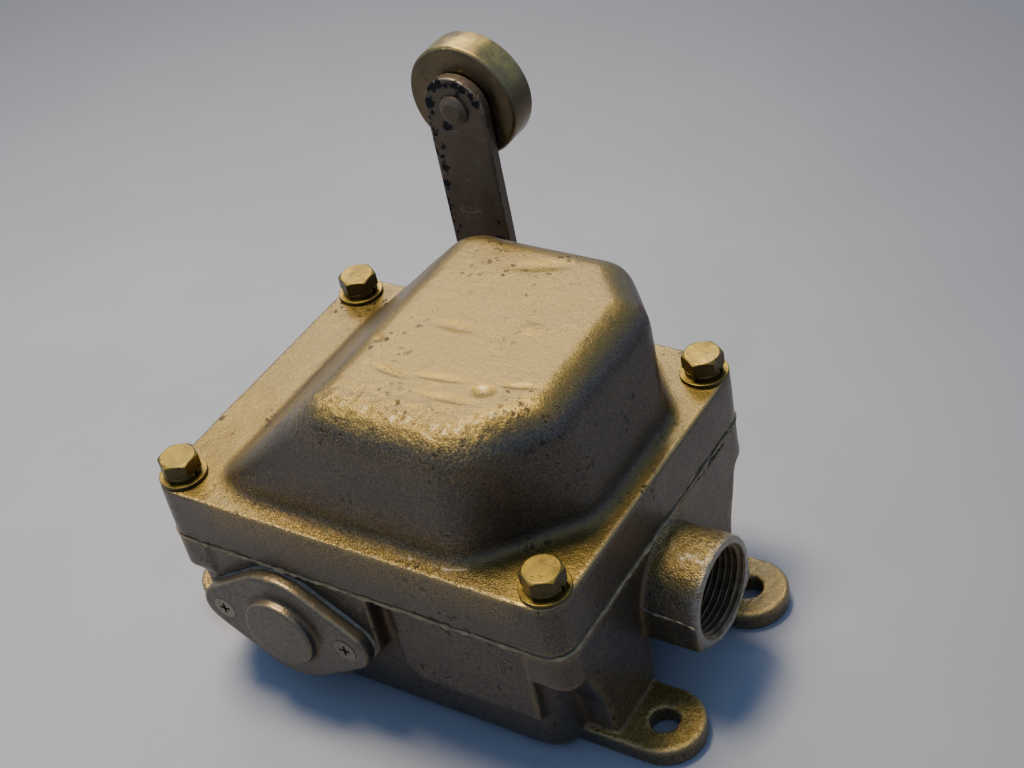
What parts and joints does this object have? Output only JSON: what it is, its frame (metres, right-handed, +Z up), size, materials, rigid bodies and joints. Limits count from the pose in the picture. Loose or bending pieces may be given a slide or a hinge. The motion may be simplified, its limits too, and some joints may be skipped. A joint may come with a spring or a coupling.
{
  "type": "crane limit switch",
  "caption": "Lever limit switch for crane drives: a cast box on feet with a bolted domed cover, a roller lever on a through shaft and a threaded cable entry.",
  "frame": {"origin": "on the mounting surface, in the middle of the foot holes", "axes": "+Z up out of the mounting surface, +X to the cable entry, -Y to the blind bearing cover, so that the lever stands at +Y and the shaft runs along Y"},
  "size_m": [0.218, 0.178, 0.1788],
  "materials": {
    "housing_paint": "bronze-grey paint on a rough casting",
    "bearing_cover_paint": "grey paint, worn at the rim",
    "gasket": "oily fibre sheet",
    "seal_rubber": "matt",
    "zinc_fasteners": "yellow zinc",
    "plated_screws": "zinc, dull",
    "roller_zinc": "yellow zinc, smooth turned",
    "lever_paint": "dark worn paint on flat steel",
    "shaft_steel": "turned steel",
    "spring_steel": "oiled spring steel",
    "bronze": "sintered bronze",
    "terminal_brass": "bright brass",
    "contact_silver": "silver contact",
    "cam_plastic": "natural plastic",
    "block_plastic": "moulded phenolic"
  },
  "bodies": {
    "housing": {"base_casting": "housing_paint", "cover_casting": "housing_paint", "cover_gasket": "gasket", "cover_bolts": "zinc_fasteners", "cover_spring_washers": "zinc_fasteners", "cover_flat_washers": "zinc_fasteners", "front_bearing_cover": "bearing_cover_paint", "rear_bearing_cover": "bearing_cover_paint", "front_bearing_gasket": "gasket", "rear_bearing_gasket": "gasket", "bearing_cover_screws": "plated_screws", "front_bushing": "bronze", "rear_bushing": "bronze", "shaft_seal": "seal_rubber", "spring_anchor_pin": "shaft_steel", "return_spring": "spring_steel", "contact_block": "block_plastic", "contact_block_screws": "plated_screws", "arm_pivot_pin": "shaft_steel", "arm_springs": "spring_steel", "fixed_contacts": "terminal_brass", "fixed_tips": "contact_silver", "terminal_screws": "terminal_brass", "terminal_washers": "terminal_brass", "earth_screw": "terminal_brass", "earth_washer": "terminal_brass"},
    "lever": {"shaft": "shaft_steel", "shaft_retaining_rings": "spring_steel", "cam_1": "cam_plastic", "cam_2": "cam_plastic", "set_screws": "spring_steel", "spring_driver": "shaft_steel", "driver_pin": "shaft_steel", "lever_sleeve": "shaft_steel", "drive_lever": "lever_paint", "lever_spring_washer": "zinc_fasteners", "lever_nut": "zinc_fasteners", "roller_pin": "lever_paint", "roller_washers": "zinc_fasteners", "roller_retaining_ring": "spring_steel"},
    "roller": {"lever_roller": "roller_zinc", "roller_bushing": "bronze"},
    "arm_1": {"contact_arm_1": "block_plastic", "follower_pin_1": "shaft_steel", "moving_contact_1": "bronze", "moving_tips_1": "contact_silver", "bridge_screw_1": "plated_screws"},
    "arm_2": {"contact_arm_2": "block_plastic", "follower_pin_2": "shaft_steel", "moving_contact_2": "bronze", "moving_tips_2": "contact_silver", "bridge_screw_2": "plated_screws"},
    "follower_1": {"follower_roller_1": "cam_plastic"},
    "follower_2": {"follower_roller_2": "cam_plastic"}
  },
  "joints": [
    {"name": "lever_swing", "type": "hinge", "parent": "housing", "child": "lever", "pos_m": [-0.034, 0, 0.037], "axis": [0, 1, 0], "range_deg": [-45, 45], "stiffness_Nm_per_rad": 3, "deforming": ["return_spring", "arm_springs", "moving_contact_1", "moving_tips_1", "moving_contact_2", "moving_tips_2"]},
    {"name": "roller_spin", "type": "hinge", "parent": "lever", "child": "roller", "pos_m": [-0.034, 0.0976, 0.156], "axis": [0, 1, 0], "continuous": true},
    {"name": "contact_arm_1_swing", "type": "hinge", "parent": "housing", "child": "arm_1", "pos_m": [0.002, -0.014, 0.066], "axis": [0, 1, 0], "range_deg": [-6.4, 6.4], "deforming": ["arm_springs", "moving_contact_1", "moving_tips_1"]},
    {"name": "contact_arm_2_swing", "type": "hinge", "parent": "housing", "child": "arm_2", "pos_m": [0.002, 0.014, 0.066], "axis": [0, 1, 0], "range_deg": [-6.4, 6.4], "deforming": ["arm_springs", "moving_contact_2", "moving_tips_2"]},
    {"name": "follower_1_spin", "type": "hinge", "parent": "arm_1", "child": "follower_1", "pos_m": [-0.008, -0.014, 0.037], "axis": [0, 1, 0], "continuous": true},
    {"name": "follower_2_spin", "type": "hinge", "parent": "arm_2", "child": "follower_2", "pos_m": [-0.008, 0.014, 0.037], "axis": [0, 1, 0], "continuous": true}
  ],
  "couplings": [
    {"joint": "contact_arm_1_swing", "follows": "lever_swing", "ratio": -0.14},
    {"joint": "contact_arm_2_swing", "follows": "lever_swing", "ratio": 0.14}
  ]
}
